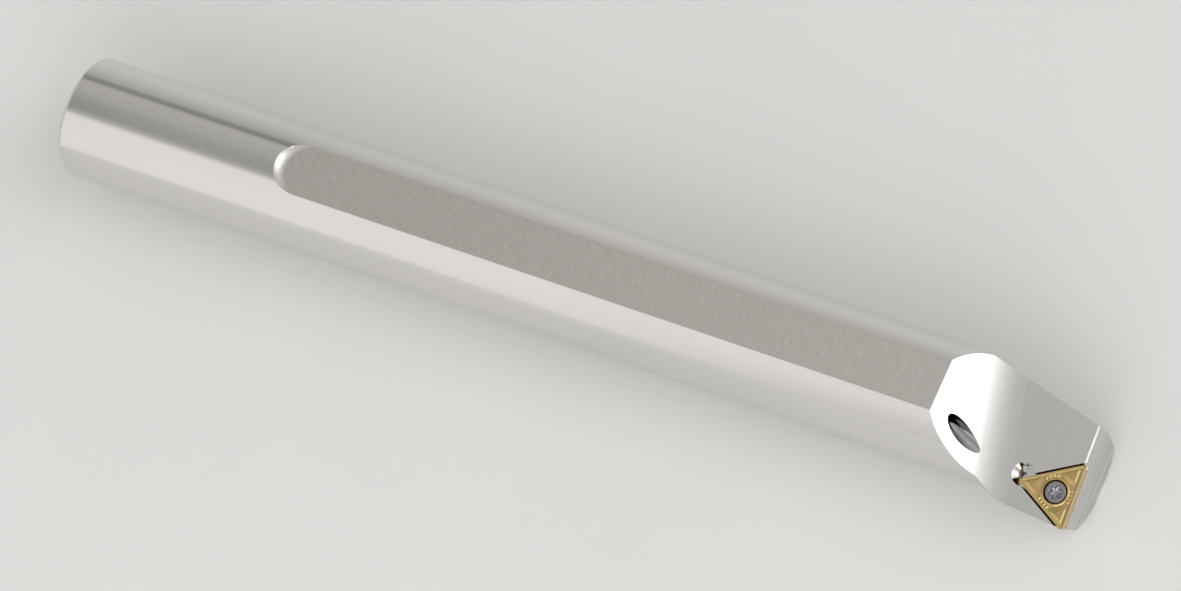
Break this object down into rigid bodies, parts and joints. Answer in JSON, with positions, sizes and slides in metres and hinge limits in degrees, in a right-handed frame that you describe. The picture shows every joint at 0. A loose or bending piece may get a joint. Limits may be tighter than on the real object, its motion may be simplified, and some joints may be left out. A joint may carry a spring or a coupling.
{
  "type": "boring bar",
  "caption": "Steel boring bar: round flatted shank, offset head with a screwed-on triangular insert, and an internal coolant channel whose jet aims at the cutting corner.",
  "frame": {"origin": "centre of the shank's rear face", "axes": "+X along the shank to the head, +Z out of the upper clamping flat, -Y towards the cutting corner, which is at centre height"},
  "size_m": [0.18, 0.023, 0.0212],
  "materials": {
    "bar": "ground and nickel-plated tool steel, satin bright, with face-milled flats",
    "insert": "cemented carbide with a satin gold-coloured hard coating",
    "insert_screw": "hardened steel, dark blue-grey, satin"
  },
  "bodies": {
    "root": {"bar": "bar", "insert": "insert", "insert_screw": "insert_screw"}
  },
  "joints": []
}
